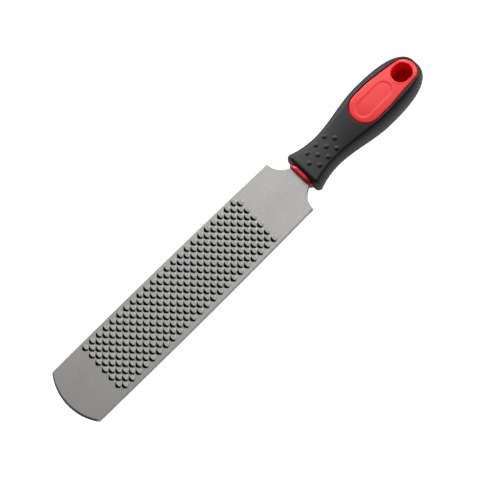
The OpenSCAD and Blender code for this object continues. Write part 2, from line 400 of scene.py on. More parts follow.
def left_outline():
    """The blade's edge on its +Y side, from the tip back to the neck's end."""
    corner_x = BLADE_LENGTH - TIP_RADIUS + math.sqrt(TIP_RADIUS ** 2 - (BLADE_WIDTH / 2) ** 2)
    corner_y = half_width_at(corner_x) - TIP_CORNER_RADIUS
    reach = TIP_RADIUS - TIP_CORNER_RADIUS
    corner = (BLADE_LENGTH - TIP_RADIUS + math.sqrt(reach ** 2 - corner_y ** 2), corner_y)
    corner_angle = math.asin(corner_y / reach)
    points = arc((BLADE_LENGTH - TIP_RADIUS, 0.0), TIP_RADIUS, 0.0, corner_angle, TIP_STEPS)
    points += arc(corner, TIP_CORNER_RADIUS, corner_angle, math.pi / 2, CORNER_STEPS)[1:]

    heel_y = half_width_at(0.0)
    shoulder = (-SHOULDER_RADIUS, heel_y)
    heel_reach = SHOULDER_RADIUS + HEEL_CORNER_RADIUS
    heel_x = shoulder[0] + math.sqrt(heel_reach ** 2 - HEEL_CORNER_RADIUS ** 2)
    heel_angle = math.asin(HEEL_CORNER_RADIUS / heel_reach)
    for x in np.linspace(corner[0], heel_x, EDGE_STEPS)[1:-1]:
        points.append((x, half_width_at(x)))
    heel = (heel_x, heel_y - HEEL_CORNER_RADIUS)
    points += arc(heel, HEEL_CORNER_RADIUS, math.pi / 2, math.pi - heel_angle, CORNER_STEPS)
    neck_angle = -math.asin((heel_y - NECK_HALF_WIDTH) / SHOULDER_RADIUS)
    points += arc(shoulder, SHOULDER_RADIUS, -heel_angle, neck_angle, SHOULDER_STEPS)[1:]
    points.append((NECK_END_X, NECK_HALF_WIDTH))
    return np.array(points)


def inset(outline, amount):
    """A closed outline moved inward, its corners kept."""
    before = outline - np.roll(outline, 1, axis=0)
    after = np.roll(outline, -1, axis=0) - outline
    before /= np.linalg.norm(before, axis=1)[:, None]
    after /= np.linalg.norm(after, axis=1)[:, None]
    inward_before = np.stack([-before[:, 1], before[:, 0]], axis=1)
    inward_after = np.stack([-after[:, 1], after[:, 0]], axis=1)
    inward = inward_before + inward_after
    scale = 2.0 / np.sum(inward * inward, axis=1) * amount
    return outline + inward * scale[:, None]


def cell_corners():
    """Corners of the six-sided patch of face that belongs to one tooth."""
    ahead = np.array([TOOTH_PITCH, 0.0])
    across = np.array([TOOTH_PITCH / 2 + ROW_ADVANCE, ROW_PITCH])
    neighbours = [ahead, across, across - ahead, -ahead, -across, ahead - across]
    corners = []
    for index, first in enumerate(neighbours):
        second = neighbours[(index + 1) % len(neighbours)]
        corners.append(np.linalg.solve([first, second], [first @ first / 2, second @ second / 2]))
    return corners


def cell_rim():
    """Points round one tooth's patch: long sides in equal steps, every third side is short and has one."""
    corners = cell_corners()
    ahead = np.array([CELL_LEAD, 0.0])
    rim = []
    for index, corner in enumerate(corners):
        following = corners[(index + 1) % len(corners)]
        steps = 1 if index % 3 == 2 else LONG_SIDE_STEPS
        rim += [mix(corner, following, step / steps) + ahead for step in range(steps)]
    return np.array(rim)


def tooth_reach(angle):
    """How far a tooth stands out from its centre: round behind, with a flatter front."""
    back = TOOTH_FRONT_RADIUS - TOOTH_FRONT
    front = np.sqrt(TOOTH_FRONT_RADIUS ** 2 - (back * np.sin(angle)) ** 2) - back * np.cos(angle)
    return soft_minimum(front, TOOTH_RADIUS, TOOTH_FRONT_SOFTNESS)


def gullet_reach(angle):
    """How far the round gullet ahead of a tooth stands out from the tooth's centre."""
    ahead = TOOTH_FRONT + GULLET_WIDTH - GULLET_RADIUS
    return ahead * np.cos(angle) + np.sqrt(GULLET_RADIUS ** 2 - (ahead * np.sin(angle)) ** 2)


def tooth_top(x):
    """Height of a tooth above the face: it starts just below the face and rises to the tip side."""
    share = np.clip((x + TOOTH_RADIUS) / (TOOTH_RADIUS + TOOTH_FRONT), 0.0, 1.0)
    return (TOOTH_HEIGHT + TOOTH_SINK) * share ** TOOTH_RISE_POWER - TOOTH_SINK


def tooth_cell():
    """Points and faces of one tooth with its gullet, round the tooth's own centre."""
    rim = cell_rim()
    distance = np.linalg.norm(rim, axis=1)
    direction = rim / distance[:, None]
    angle = np.abs(np.arctan2(direction[:, 1], direction[:, 0]))
    reach_out = tooth_reach(angle)
    opening = gullet_reach(angle) - reach_out
    opening = opening * smooth_step(GULLET_CLOSING * (1.0 - angle / GULLET_END_ANGLE))
    opening = np.clip(opening, 0.0, CELL_FILL * (distance - reach_out))
    bite = np.clip(opening / GULLET_FULL_DEPTH_AT, 0.0, 1.0)
    depth = -GULLET_DEPTH * bite
    width = TOOTH_SKIRT + opening
    face = np.zeros_like(distance)

    def on_tooth(reach):
        return tooth_top(direction[:, 0] * reach)

    crown = TOOTH_CROWN_SHARE * reach_out
    back = reach_out - TOOTH_EDGE_BACK
    edge = reach_out - TOOTH_EDGE_ROUND
    rings = [(crown, on_tooth(crown)),
             (back, on_tooth(back)),
             (edge, on_tooth(edge) - TOOTH_EDGE_DROP * bite),
             (reach_out, depth - TOOTH_FOOT),
             (reach_out + GULLET_FLOOR_SHARE * width, depth),
             (reach_out + width, face),
             (distance, face)]
    points = [np.array([[0.0, 0.0, tooth_top(0.0)]])]
    for reach, height in rings:
        points.append(np.column_stack([direction * reach[:, None], height]))
    faces = []
    count = len(rim)
    for index in range(count):
        following = (index + 1) % count
        faces.append([0, 1 + index, 1 + following])
        for ring in range(len(rings) - 1):
            inner = 1 + ring * count
            outer = inner + count
            faces.append([inner + index, outer + index, outer + following, inner + following])
    return np.concatenate(points), faces


def tooth_centres():
    """Centres of all teeth, on the plate's face."""
    centres = []
    for row in range(TOOTH_ROWS):
        stagger = 0.0 if row % 2 else 0.5
        y = ROW_PITCH * (row - (TOOTH_ROWS - 1) / 2) + FIELD_OFFSET_Y
        for column in range(TEETH_PER_ROW):
            x = FIRST_TOOTH_X + TOOTH_PITCH * (column + stagger) + ROW_ADVANCE * row
            centres.append((x, y, BLADE_THICKNESS))
    return np.array(centres)


def tip_share(outline):
    """0 along the sides and heel, rising to 1 where the outline faces straight ahead at the tip."""
    along = np.roll(outline, -1, axis=0) - np.roll(outline, 1, axis=0)
    facing = along[:, 1] / np.linalg.norm(along, axis=1)
    return np.clip(facing, 0.0, 1.0) ** 2 * (outline[:, 0] > WIDEST_X)


def add_loop(work, outline, heights):
    """A closed loop of vertices and edges, at one height or at a height for each point."""
    heights = np.broadcast_to(heights, len(outline))
    loop = [work.verts.new(Vector((*point, height)) * MM) for point, height in zip(outline, heights)]
    edges = [work.edges.new((loop[i - 1], loop[i])) for i in range(len(loop))]
    return loop, edges


def bridge(work, lower, upper):
    """Quads between two loops of as many vertices."""
    for index in range(len(lower)):
        work.faces.new((lower[index - 1], lower[index], upper[index], upper[index - 1]))


def tang_end(work, x, half_width):
    """Four corners of the tang at x."""
    ring = []
    for across, up in ((-1, -1), (1, -1), (1, 1), (-1, 1)):
        corner = Vector((x, half_width * across, MID_HEIGHT + TANG_HALF_THICKNESS * up))
        ring.append(work.verts.new(corner * MM))
    return ring


def add_tang(work):
    """The tang inside the handle, a tapered bar that starts inside the neck."""
    start = tang_end(work, TANG_START_X, TANG_HALF_WIDTH)
    end = tang_end(work, TANG_END_X, TANG_END_HALF_WIDTH)
    bridge(work, start, end)
    work.faces.new(start)
    work.faces.new(end)


def blade_mesh():
    """The plate with its tooth field let into the face, and the tang."""
    cell_points, cell_faces = tooth_cell()
    centres = tooth_centres()
    points = (centres[:, None, :] + cell_points[None, :, :]).reshape(-1, 3)
    offsets = np.arange(len(centres)) * len(cell_points)
    faces = [[corner + int(offset) for corner in face] for offset in offsets for face in cell_faces]
    mesh = bpy.data.meshes.new("rasp_blade")
    mesh.from_pydata((points * MM).tolist(), [], faces)

    work = bmesh.new()
    work.from_mesh(mesh)
    bmesh.ops.remove_doubles(work, verts=work.verts, dist=WELD_DISTANCE * MM)
    field_edges = [edge for edge in work.edges if len(edge.link_faces) == 1]

    left = left_outline()
    right = left[::-1] * (1.0, -1.0)
    outline = np.concatenate([left, right[:-1]])
    bottom, bottom_edges = add_loop(work, inset(outline, BOTTOM_BEVEL), 0.0)
    low, _ = add_loop(work, outline, BOTTOM_BEVEL)
    bevel = mix(EDGE_BEVEL, TIP_BEVEL, tip_share(outline))
    high, _ = add_loop(work, outline, BLADE_THICKNESS - bevel)
    top, top_edges = add_loop(work, inset(outline, bevel), BLADE_THICKNESS)
    bridge(work, bottom, low)
    bridge(work, low, high)
    bridge(work, high, top)
    bmesh.ops.triangle_fill(work, use_beauty=True, edges=field_edges + top_edges)
    bmesh.ops.triangle_fill(work, use_beauty=True, edges=bottom_edges)
    add_tang(work)
    bmesh.ops.recalc_face_normals(work, faces=work.faces)
    work.to_mesh(mesh)
    work.free()
    mark_colours(mesh)
    return mesh


def read_vectors(elements, name):
    """One vector for each vertex or face, as rows of an array."""
    flat = np.empty(len(elements) * 3)
    elements.foreach_get(name, flat)
    return flat.reshape(-1, 3)


def write_attribute(mesh, name, domain, values):
    """A number for each point or face, which the material can read by its name."""
    layer = mesh.attributes.new(name, "FLOAT", domain)
    layer.data.foreach_set("value", values.astype(np.float32))


def mark_colours(mesh):
    """Attributes of 0 to 1 for the steel's painted shade and light: deep in a gullet, high on a tooth, on the
    plate's side.
    """
    x, y, z = read_vectors(mesh.vertices, "co").T / MM
    in_field = (np.abs(y) < ROW_PITCH * TOOTH_ROWS / 2 + TOOTH_RADIUS) & (x > 0.0) & (z > MID_HEIGHT)
    # Painted shade: how deep a point lies in a gullet, which turns the steel near black there.
    depth = np.clip((BLADE_THICKNESS - HOLLOW_START - z) / HOLLOW_RANGE, 0.0, 1.0) * in_field
    write_attribute(mesh, "hollow", "POINT", depth)
    # Painted shade: height up a tooth, which darkens the tooth's upper part.
    rise = np.clip((z - BLADE_THICKNESS) / RAISED_RANGE, 0.0, 1.0)
    write_attribute(mesh, "raised", "POINT", rise)
    # Painted light: the plate's upright side wall, which gets a paler tone.
    upright = np.abs(read_vectors(mesh.polygons, "normal")[:, 2]) < UPRIGHT_NORMAL
    centre_z = read_vectors(mesh.polygons, "center")[:, 2] / MM
    side = upright & (np.abs(centre_z - MID_HEIGHT) < SIDE_RANGE)
    write_attribute(mesh, "side", "FACE", side)


# ---- Handle profile ----

def grip_half_size(distance):
    """Half width and half height of the grip at distances behind its mouth."""
    distance = np.asarray(distance, dtype=float)[:, None]
    nose_share = np.sqrt(np.clip(1.0 - (1.0 - distance / LIP_AT) ** 2, 0.0, 1.0))
    nose = mix(MOUTH_HALF_SIZE, LIP_HALF_SIZE, nose_share)
    flare_share = np.clip((WAIST_AT - distance) / (WAIST_AT - LIP_AT), 0.0, 1.0)
    flare = mix(WAIST_HALF_SIZE, LIP_HALF_SIZE, flare_share ** FLARE_POWER)
    body_share = smooth_step((distance - WAIST_AT) / (BELLY_AT - WAIST_AT))
    body = mix(WAIST_HALF_SIZE, BELLY_HALF_SIZE, body_share)
    butt_share = np.clip((distance - BELLY_AT) / (GRIP_LENGTH - BELLY_AT), 0.0, 1.0)
    butt = BELLY_HALF_SIZE * (1.0 - butt_share ** BUTT_POWER) ** (1.0 / BUTT_POWER)
    size = np.where(distance < LIP_AT, nose, flare)
    size = np.where(distance < WAIST_AT, size, body)
    return np.where(distance < BELLY_AT, size, butt).T


def crown_height(half_width, half_height, y):
    """Height of the section's nearly flat top at a distance from the middle."""
    share = y / np.maximum(CROWN_SHARE * half_width, TINY)
    return half_height * (1.0 - CROWN_DROP * share ** 2)


def side_reach(half_width, half_height, z):
    """How far out the side stands at a height above the mid-plane."""
    edge_z = (1.0 - CROWN_DROP) * half_height
    share = z / np.maximum(edge_z, TINY)
    return half_width - (1.0 - CROWN_SHARE) * half_width * share ** SIDE_POWER


def section_height(half_width, half_height, y):
    """Height of the section's outline at a distance from the middle, on the crown or the side."""
    edge_y = CROWN_SHARE * half_width
    edge_z = (1.0 - CROWN_DROP) * half_height
    side_share = np.clip((half_width - y) / np.maximum(half_width - edge_y, TINY), 0.0, 1.0)
    side = edge_z * side_share ** (1.0 / SIDE_POWER)
    return np.where(y < edge_y, crown_height(half_width, half_height, y), side)


def capsule_distance(x, y, front, rear, front_radius, rear_radius):
    """Distance outside the hull of two circles on the middle line; negative inside."""
    along = front - x
    across = np.abs(y)
    length = front - rear
    slope = (front_radius - rear_radius) / length
    cosine = math.sqrt(1.0 - slope ** 2)
    place = cosine * along - slope * across
    flank = cosine * across + slope * along - front_radius
    at_front = np.hypot(across, along) - front_radius
    at_rear = np.hypot(across, along - length) - rear_radius
    return np.where(place < 0.0, at_front, np.where(place > cosine * length, at_rear, flank))


def window_distance(x, y):
    """Distance outside the window's outline; negative inside."""
    front = capsule_distance(x, y, FRONT_CIRCLE_X, MIDDLE_CIRCLE_X, WINDOW_RADIUS, WINDOW_RADIUS)
    rear = capsule_distance(x, y, MIDDLE_CIRCLE_X, REAR_CIRCLE_X, WINDOW_RADIUS, WINDOW_REAR_RADIUS)
    return np.minimum(front, rear)


def circle_half_width(x, centre, radius):
    """Half width at x of a circle on the middle line."""
    return np.sqrt(np.clip(radius ** 2 - (x - centre) ** 2, 0.0, None))


def window_half_width(x, gap):
    """Half width of the window at x, with its outline moved in by a gap."""
    radius = WINDOW_RADIUS - gap
    rear_radius = WINDOW_REAR_RADIUS - gap
    slope = (radius - rear_radius) / (MIDDLE_CIRCLE_X - REAR_CIRCLE_X)
    flank = (radius + slope * (x - MIDDLE_CIRCLE_X)) / math.sqrt(1.0 - slope ** 2)
    on_flank = (x < MIDDLE_CIRCLE_X - slope * radius) & (x > REAR_CIRCLE_X - slope * rear_radius)
    straight = np.where((x <= FRONT_CIRCLE_X) & (x >= MIDDLE_CIRCLE_X), radius, 0.0)
    circles = [circle_half_width(x, FRONT_CIRCLE_X, radius),
               circle_half_width(x, MIDDLE_CIRCLE_X, radius),
               circle_half_width(x, REAR_CIRCLE_X, rear_radius)]
    return np.maximum.reduce(circles + [straight, np.where(on_flank, flank, 0.0)])


def slot_half_width(x, centre, length, width):
    """Half width at x of a slot with round ends."""
    beyond = np.clip(np.abs(x - centre) - (length - width) / 2, 0.0, None)
    return np.sqrt(np.clip((width / 2) ** 2 - beyond ** 2, 0.0, None))


def slot_distance(x, y, centre, length, width):
    """Distance outside a slot's outline; negative inside."""
    beyond = np.clip(np.abs(x - centre) - (length - width) / 2, 0.0, None)
    return np.hypot(beyond, y) - width / 2


def nub_rise(x, y):
    """Height added by the staggered rounded nubs behind the mouth."""
    rise = np.zeros_like(x)
    for row, count in NUB_ROWS:
        start = NUB_FIRST_X - abs(row) * NUB_PITCH / 2
        for number in range(count):
            reach = np.hypot(x - (start - NUB_PITCH * number), y - NUB_ROW_PITCH * row) / NUB_RADIUS
            fall = smooth_step((reach - NUB_FLAT_SHARE) / (1.0 - NUB_FLAT_SHARE))
            rise = rise + NUB_HEIGHT * (1.0 - fall)
    return rise


def nose_x(z):
    """The mouth's front as seen from the side: a large round nose."""
    return MOUTH_X - MOUTH_NOSE_RADIUS + np.sqrt(np.clip(MOUTH_NOSE_RADIUS ** 2 - z ** 2, 0.0, None))


def half_section(y, z):
    """From the top quarter, [stations, columns], to the whole +Y half, top to bottom."""
    return np.concatenate([y, y[:, -2::-1]], axis=1), np.concatenate([z, -z[:, -2::-1]], axis=1)


def as_grid(x, y, z):
    """Points in the CAD frame from places along the handle and a section's coordinates."""
    return np.stack([np.broadcast_to(x, y.shape), y, z + MID_HEIGHT], axis=-1)


def mirrored(grid):
    """The same grid on the -Y side."""
    return grid * (1.0, -1.0, 1.0)


def unchanged(grid):
    """The grid as it is, on the +Y side."""
    return grid


def bent(start, corner, end, share):
    """A curve from start to end that leaves and arrives towards a corner."""
    return (1 - share) ** 2 * start + 2 * share * (1 - share) * corner + share ** 2 * end


# ---- Grip ----

def grip_outer_quarter(x, half_width, half_height):
    """Top +Y quarter of the grip's outside, from the window's edge to the middle of the side."""
    window = window_half_width(x, 0.0)
    edge_y = CROWN_SHARE * half_width
    edge_z = (1.0 - CROWN_DROP) * half_height
    soft = FACET_SOFTNESS * np.clip(half_width / BELLY_HALF_SIZE[0], 0.0, 1.0)
    crown_end = np.maximum(edge_y - soft, window)
    room = crown_end - window
    columns_y = []
    columns_z = []
    for share in [*RIM_SHARES, *np.linspace(RIM_SHARES[-1], 1.0, CROWN_COLUMNS)[1:]]:
        y = window + room * share
        columns_y.append(y)
        columns_z.append(crown_height(half_width, half_height, y))
    side_start_z = edge_z - np.minimum(soft, FACET_LIMIT * edge_z)
    side_start_y = side_reach(half_width, half_height, side_start_z)
    crown_end_z = crown_height(half_width, half_height, crown_end)
    for share in np.linspace(0.0, 1.0, FACET_COLUMNS)[1:-1]:
        columns_y.append(bent(crown_end, edge_y, side_start_y, share))
        columns_z.append(bent(crown_end_z, edge_z, side_start_z, share))
    for share in np.linspace(1.0, 0.0, SIDE_COLUMNS):
        z = side_start_z * share
        columns_y.append(side_reach(half_width, half_height, z))
        columns_z.append(z)
    y = np.stack(columns_y, axis=1)
    z = np.stack(columns_z, axis=1)
    wide_x = np.broadcast_to(x[:, None], y.shape)
    height_share = z / np.maximum(half_height[:, None], TINY)
    rim = np.clip(1.0 - window_distance(wide_x, y) / RIM_ROUND, 0.0, 1.0)
    rim_drop = RIM_DROP * rim ** 2 * (height_share > RIM_ABOVE)
    nubs = nub_rise(wide_x, y) * (height_share > NUBS_ABOVE)
    return y, z - rim_drop + nubs


def slot_quarter(half_width, half_height, columns):
    """Top +Y quarter of a section with a flat top and a round side; a sixth of its points are on the flat."""
    flat = half_width - half_height
    straight = columns // 6
    y = list(np.linspace(0.0, flat, straight + 1)[:-1])
    z = [half_height] * straight
    for angle in np.linspace(math.pi / 2, 0.0, columns - straight):
        y.append(flat + half_height * math.cos(angle))
        z.append(half_height * math.sin(angle))
    return np.array(y), np.array(z)


def core_quarter(x, start, columns):
    """Top +Y quarter of the core's body, from y = start to the middle of the side."""
    half_width, half_height = grip_half_size(MOUTH_X - x) - GRIP_WALL
    reach = np.linspace(1.0, 0.0, columns)[None, :] ** SIDE_POWER
    y = half_width[:, None] - (half_width - start)[:, None] * reach
    return y, section_height(half_width[:, None], half_height[:, None], y)


def window_stations(gap):
    """Places along the window, close together at its round ends."""
    turn = np.linspace(0.0, math.pi / 2, WINDOW_TURN_STATIONS)
    front = FRONT_CIRCLE_X + (WINDOW_RADIUS - gap) * np.cos(turn)
    straight = np.linspace(FRONT_CIRCLE_X, REAR_CIRCLE_X, WINDOW_STRAIGHT_STATIONS)[1:-1]
    rear = REAR_CIRCLE_X - (WINDOW_REAR_RADIUS - gap) * np.sin(turn)
    return np.concatenate([front, straight, rear])


def butt_stations():
    """Places behind the window, closer together towards the round end of the grip."""
    butt_length = GRIP_LENGTH - BELLY_AT
    first_share = (MOUTH_X - WINDOW_REAR_X - BELLY_AT) / butt_length
    first_turn = math.asin(first_share ** (BUTT_POWER / 2))
    turn = np.linspace(first_turn, math.pi / 2, BUTT_STATIONS)[1:]
    return MOUTH_X - BELLY_AT - butt_length * np.sin(turn) ** (2 / BUTT_POWER)


def grip_bore(columns):
    """The inside at the mouth: wide enough to clear the collar's front, then a close fit."""
    step_x = MOUTH_X - BORE_STEP_AT
    x = np.array([MOUTH_X, step_x, step_x - BORE_STEP_LENGTH, COLLAR_END_X])
    quarters = []
    for clearance in (BORE_CLEARANCE, BORE_CLEARANCE, 0.0, 0.0):
        quarters.append(slot_quarter(COLLAR_HALF_WIDTH + clearance, COLLAR_HALF_HEIGHT + clearance, columns))
    y, z = half_section(*np.stack(quarters, axis=1))
    return as_grid(np.minimum(x[:, None], nose_x(z)), y, z)


def grip_stations():
    """Places along the whole grip, from the mouth to the butt, and the rows that lie along the window."""
    nose = MOUTH_X - LIP_AT * (1.0 - np.cos(np.linspace(0.0, math.pi / 2, NOSE_STATIONS)))
    nubs = np.arange(nose[-1] - NUB_STEP, MOUTH_X - NUB_FIELD_LENGTH, -NUB_STEP)
    approach = WINDOW_FRONT_X + APPROACH_STEPS
    middle = np.linspace(nubs[-1], approach[0], MIDDLE_STATIONS)[1:-1]
    before = np.concatenate([nose, nubs, middle, approach])
    window = window_stations(0.0)
    rows = slice(len(before), len(before) + len(window))
    return np.concatenate([before, window, butt_stations()]), rows


def grip_mesh():
    """The hollow grip: outside and inside skins, joined round the mouth and both windows."""
    loft = Lofter()
    x, window_rows = grip_stations()
    y, z = half_section(*grip_outer_quarter(x, *grip_half_size(MOUTH_X - x)))
    rounded_x = soft_minimum(np.broadcast_to(x[:, None], y.shape), nose_x(z), MOUTH_SOFTNESS)
    outer = as_grid(np.where(x[:, None] < MOUTH_X - MOUTH_LENGTH, x[:, None], rounded_x), y, z)
    columns = (outer.shape[1] + 1) // 2

    front_x = np.linspace(COLLAR_END_X, WINDOW_FRONT_X, INSIDE_STATIONS)[:-1]
    inner_x = np.concatenate([front_x, x[window_rows]])
    inner_quarter = core_quarter(inner_x, window_half_width(inner_x, 0.0), columns)
    inside = as_grid(inner_x[:, None], *half_section(*inner_quarter))
    inner = np.concatenate([grip_bore(columns), inside])

    inner_start = len(inner) - len(x[window_rows])
    rear_loops = []
    for side in (unchanged, mirrored):
        outer_numbers = loft.add(side(outer))
        inner_numbers = loft.add(side(inner))
        loft.skin(outer_numbers)
        loft.skin(inner_numbers)
        loft.skin(np.stack([outer_numbers[0], inner_numbers[0]]))
        for column in (0, -1):
            rim = outer_numbers[window_rows, column]
            foot = inner_numbers[inner_start:, column]
            loft.skin(np.stack([rim, foot]))
        rear_loops.append(inner_numbers[-1])
    loft.cap(np.concatenate([rear_loops[0], rear_loops[1][::-1]]))
    return loft.mesh("rasp_grip")


# ---- Core ----

def pad_top(x, y, half_width, half_height):
    """Height of the red window's surface: rounded edge, shallow label recess, lip round the hole."""
    z = crown_height(half_width, half_height, y) - WINDOW_DROP
    from_edge = -PAD_GAP - window_distance(x, y)
    z = z - PAD_EDGE_DROP * np.clip(1.0 - from_edge / PAD_EDGE_ROUND, 0.0, 1.0) ** 2
    label = slot_distance(x, y, LABEL_CENTRE_X, LABEL_LENGTH, LABEL_WIDTH)
    z = z - LABEL_DEPTH * smooth_step(0.5 - label / (2 * LABEL_EDGE))
    from_hole = slot_distance(x, y, HOLE_CENTRE_X, HOLE_LENGTH, HOLE_WIDTH)
    z = z + HOLE_LIP_HEIGHT * smooth_step((HOLE_LIP_WIDTH - from_hole) / HOLE_LIP_FADE)
    return z - HOLE_EDGE_DROP * np.clip(1.0 - from_hole / HOLE_EDGE_ROUND, 0.0, 1.0) ** 2


def core_stations():
    """Places along the core's body, close together at the ends of the window, label and hole."""
    turn = np.linspace(0.0, math.pi / 2, HOLE_TURN_STATIONS)
    hole = (HOLE_LENGTH - HOLE_WIDTH) / 2 + HOLE_WIDTH / 2 * np.sin(turn)
    front_of_hole = HOLE_CENTRE_X + HOLE_LENGTH / 2
    behind_hole = HOLE_CENTRE_X - HOLE_LENGTH / 2
    fixed = np.concatenate([np.linspace(COLLAR_END_X, WINDOW_FRONT_X, INSIDE_STATIONS),
                            window_stations(PAD_GAP),
                            HOLE_CENTRE_X + hole,
                            HOLE_CENTRE_X - hole,
                            front_of_hole + HOLE_SIDE_STEPS,
                            behind_hole - HOLE_SIDE_STEPS,
                            [WINDOW_REAR_X]])
    label_reach = LABEL_LENGTH / 2 + LABEL_STEPS_BEYOND
    label = np.arange(LABEL_CENTRE_X + label_reach, LABEL_CENTRE_X - label_reach, -LABEL_STEP)
    label = label[np.abs(label[:, None] - fixed).min(axis=1) > STATION_CLEARANCE]
    stations = np.sort(np.concatenate([fixed, label]))[::-1]
    return stations[np.concatenate([[True], -np.diff(stations) > SAME_STATION])]


def core_body(x):
    """The +Y half of the core behind its collar: the pad from the hole's edge outward, then the body."""
    half_width, half_height = grip_half_size(MOUTH_X - x)
    pad = window_half_width(x, PAD_GAP)
    hole = np.minimum(slot_half_width(x, HOLE_CENTRE_X, HOLE_LENGTH, HOLE_WIDTH), pad)
    pad_y = mix(hole[:, None], pad[:, None], half_turn(PAD_COLUMNS)[None, :])
    wide_x = np.broadcast_to(x[:, None], pad_y.shape)
    pad_z = pad_top(wide_x, pad_y, half_width[:, None], half_height[:, None])
    body_y, body_z = core_quarter(x, pad, BODY_COLUMNS)
    pad_z = np.where(pad[:, None] > 0.0, pad_z, body_z[:, :1])
    y = np.concatenate([pad_y, body_y], axis=1)
    z = np.concatenate([pad_z, body_z], axis=1)
    return as_grid(x[:, None], *half_section(y, z))


def core_ring(x, quarter_y, quarter_z):
    """One station without a pad: the pad's points all lie on the middle line."""
    y = np.concatenate([np.zeros(PAD_COLUMNS + 1), quarter_y])[None, :]
    z = np.concatenate([np.full(PAD_COLUMNS + 1, quarter_z[0]), quarter_z])[None, :]
    return as_grid(x, *half_section(y, z))


def bar_quarter(half_width, half_height):
    """Top +Y quarter of a square-edged bar; two thirds of its points are on the top."""
    across = BODY_COLUMNS * 2 // 3
    below = BODY_COLUMNS - across
    y = np.concatenate([np.linspace(0.0, half_width, across), np.full(below, half_width)])
    down = np.linspace(half_height, 0.0, below + 1)[1:]
    return y, np.concatenate([np.full(across, half_height), down])


def pocket_rings():
    """The tang's pocket, from its closed end to the collar's front."""
    return [core_ring(TANG_END_X, *bar_quarter(TANG_END_HALF_WIDTH, TANG_HALF_THICKNESS)),
            core_ring(NECK_END_X, *bar_quarter(TANG_HALF_WIDTH, TANG_HALF_THICKNESS))]


def collar_rings():
    """The collar, with the edge of its front rounded."""
    rings = []
    for turn in np.linspace(0.0, math.pi / 2, COLLAR_TURN_STATIONS):
        inset_by = COLLAR_ROUND * (1.0 - math.sin(turn))
        x = NECK_END_X - COLLAR_ROUND * (1.0 - math.cos(turn))
        quarter = slot_quarter(COLLAR_HALF_WIDTH - inset_by, COLLAR_HALF_HEIGHT - inset_by, BODY_COLUMNS)
        rings.append(core_ring(x, *quarter))
    rings.append(core_ring(COLLAR_END_X, *slot_quarter(COLLAR_HALF_WIDTH, COLLAR_HALF_HEIGHT, BODY_COLUMNS)))
    return rings


def core_mesh():
    """The red core as one skin, from the end of the tang's pocket, over the collar, to the butt."""
    loft = Lofter()
    x = core_stations()
    rings = pocket_rings() + collar_rings()
    half = np.concatenate(rings + [core_body(x)])
    in_hole = np.abs(x - HOLE_CENTRE_X) <= HOLE_LENGTH / 2 + SAME_STATION
    hole_rows = len(rings) + np.flatnonzero(in_hole)
    loops = []
    for side in (unchanged, mirrored):
        numbers = loft.add(side(half))
        loft.skin(numbers)
        loft.skin(np.stack([numbers[hole_rows, 0], numbers[hole_rows, -1]]))
        loops.append(numbers)
    for row in (0, -1):
        loft.cap(np.concatenate([loops[0][row], loops[1][row][::-1]]))
    return loft.mesh("rasp_handle_core")


# ---- Materials ----

# Blender's Mix node has several sockets of one name, so its colour sockets are known by number.
MIX_FIRST = 6
MIX_SECOND = 7
MIX_RESULT = 2
EVEN = (1.0, 1.0, 1.0)


class Shader:
    """A short way to write the nodes of a material or of the world."""

    def __init__(self, owner, surface):
        owner.use_nodes = True
        self.owner = owner
        self.nodes = owner.node_tree.nodes
        self.links = owner.node_tree.links
        self.surface = self.nodes[surface]

    def connect(self, socket, value):
        """Feed an input from another node's output, or set it to a plain value."""
        if isinstance(value, bpy.types.NodeSocket):
            self.links.new(value, socket)
        else:
            socket.default_value = value

    def feed(self, node, inputs):
        """Feed a node's inputs by name, with _ for a space."""
        for key, value in inputs.items():
            self.connect(node.inputs[key.replace("_", " ")], value)

    def node(self, kind, settings=None, **inputs):
        """A new node with its settings and inputs."""
        made = self.nodes.new(kind)
        for key, value in (settings or {}).items():
            setattr(made, key, value)
        self.feed(made, inputs)
        return made

    def set(self, **inputs):
        """Feed the inputs of the surface or of the world's background."""
        self.feed(self.surface, inputs)

    def position(self, stretch):
        """Object coordinates in metres, multiplied along each axis."""
        place = self.node("ShaderNodeTexCoord").outputs["Object"]
        return self.node("ShaderNodeMapping", Vector=place, Scale=stretch).outputs["Vector"]

    def noise(self, scale, stretch=EVEN, detail=2.0, roughness=0.5):
        """Noise of 0 to 1, finer for a larger scale; a stretch below 1 draws it out along that axis."""
        made = self.node("ShaderNodeTexNoise", Vector=self.position(stretch), Scale=scale,
                         Detail=detail, Roughness=roughness)
        return made.outputs["Fac"]

    def attribute(self, name):
        """A number that the mesh carries."""
        return self.node("ShaderNodeAttribute", {"attribute_name": name}).outputs["Fac"]

    def seen_by_camera(self):
        """1 for what the camera sees directly, 0 for the light that things cast on one another."""
        return self.node("ShaderNodeLightPath").outputs["Is Camera Ray"]

    def span(self, value, given, wanted):
        """A value moved from a given range to a wanted one, and held within it."""
        made = self.node("ShaderNodeMapRange", {"clamp": True}, Value=value,
                         From_Min=given[0], From_Max=given[1], To_Min=wanted[0], To_Max=wanted[1])
        return made.outputs["Result"]

    def blend(self, share, first, second):
        """A share of the way from one colour to another."""
        made = self.node("ShaderNodeMix", {"data_type": "RGBA"}, Factor=share)
        self.connect(made.inputs[MIX_FIRST], first)
        self.connect(made.inputs[MIX_SECOND], second)
        return made.outputs[MIX_RESULT]

    def math(self, operation, first, second):
        """One sum, difference, product or maximum of two values."""
        made = self.node("ShaderNodeMath", {"operation": operation})
        self.connect(made.inputs[0], first)
        self.connect(made.inputs[1], second)
        return made.outputs["Value"]

    def bump(self, height, distance, strength):
        """A surface made uneven by a height of 0 to 1 over a distance in metres."""
        made = self.node("ShaderNodeBump", Height=height, Distance=distance, Strength=strength)
        return made.outputs["Normal"]


def new_material(name):
    """The shader of a new material."""
    return Shader(bpy.data.materials.new(name), "Principled BSDF")


